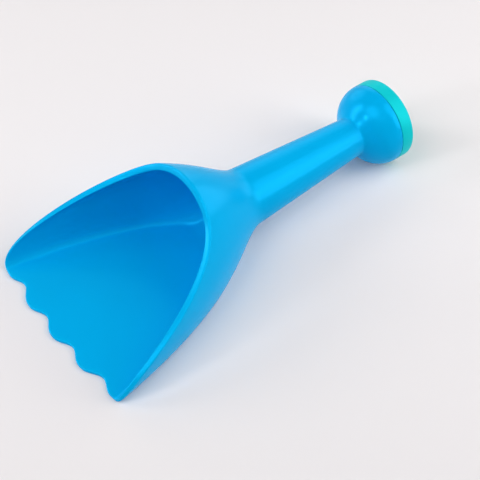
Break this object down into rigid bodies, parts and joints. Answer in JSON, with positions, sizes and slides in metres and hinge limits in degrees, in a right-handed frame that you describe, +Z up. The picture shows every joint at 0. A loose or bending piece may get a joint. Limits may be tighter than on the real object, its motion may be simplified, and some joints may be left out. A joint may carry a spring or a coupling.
{
  "type": "sand shovel",
  "caption": "Sand shovel with a wide scalloped scoop that narrows into a hollow tapered handle and a bell; a perforated push-fit cap lets the scooped water rain out.",
  "frame": {"origin": "on the ground, under the middle of the overall length, in the plane of symmetry", "axes": "+X along the handle from the scoop towards the rain cap, +Y across, +Z up"},
  "size_m": [0.25, 0.1262, 0.0698],
  "materials": {
    "blue_plastic": "glossy moulded",
    "teal_plastic": "glossy moulded"
  },
  "bodies": {
    "shovel": {"scoop": "blue_plastic", "handle": "blue_plastic"},
    "rain_cap": {"rain_cap": "teal_plastic"}
  },
  "joints": [
    {"name": "cap_pull", "type": "slide", "parent": "shovel", "child": "rain_cap", "axis": [1, 0, 0], "range_m": [0, 0.02]}
  ]
}
